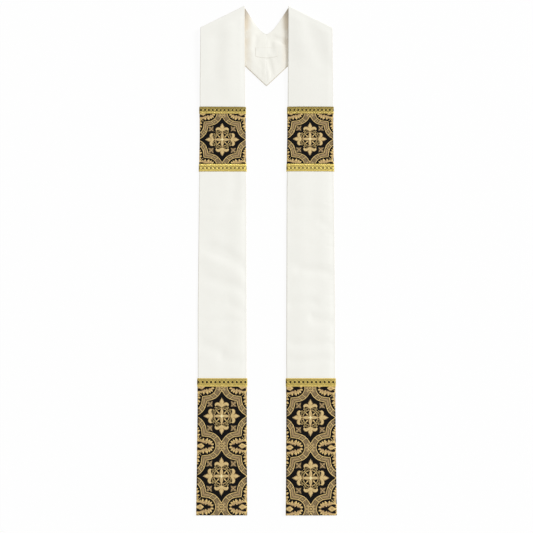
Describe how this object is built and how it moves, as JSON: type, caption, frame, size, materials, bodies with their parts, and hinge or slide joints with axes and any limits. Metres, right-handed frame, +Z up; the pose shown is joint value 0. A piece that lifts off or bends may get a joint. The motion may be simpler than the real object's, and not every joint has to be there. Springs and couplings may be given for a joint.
{
  "type": "clerical stole",
  "caption": "Clerical stole lying flat: two long lined panels folded over at the shoulders and joined in a V behind the neck, with brocade bands and gold braid.",
  "frame": {"origin": "centre of the stole's outline in plan, on the surface it lies on", "axes": "+X to the right across the stole as seen from above with the neck away, +Y from the hems to the neck, +Z up off the surface"},
  "size_m": [0.3702, 1.3678, 0.0098],
  "materials": {
    "ivory_cloth": "plain woven ivory face cloth with a soft sheen",
    "ivory_lining": "smooth ivory satin lining",
    "black_gold_brocade": "black brocade with crosses and foliage in light gold and taupe",
    "gold_braid": "woven gold braid with a row of small rounds",
    "ivory_label": "bare woven satin label"
  },
  "bodies": {
    "root": {"shell_front_left": "ivory_cloth", "shell_neck_left": "ivory_cloth", "shell_front_right": "ivory_cloth", "shell_neck_right": "ivory_cloth", "lining_front_left": "ivory_lining", "lining_neck_left": "ivory_lining", "lining_front_right": "ivory_lining", "lining_neck_right": "ivory_lining", "brocade_upper_left": "black_gold_brocade", "brocade_upper_right": "black_gold_brocade", "brocade_lower_left": "black_gold_brocade", "brocade_lower_right": "black_gold_brocade", "braid_upper_top_left": "gold_braid", "braid_upper_top_right": "gold_braid", "braid_upper_bottom_left": "gold_braid", "braid_upper_bottom_right": "gold_braid", "braid_lower_top_left": "gold_braid", "braid_lower_top_right": "gold_braid", "neck_label": "ivory_label"}
  },
  "joints": []
}
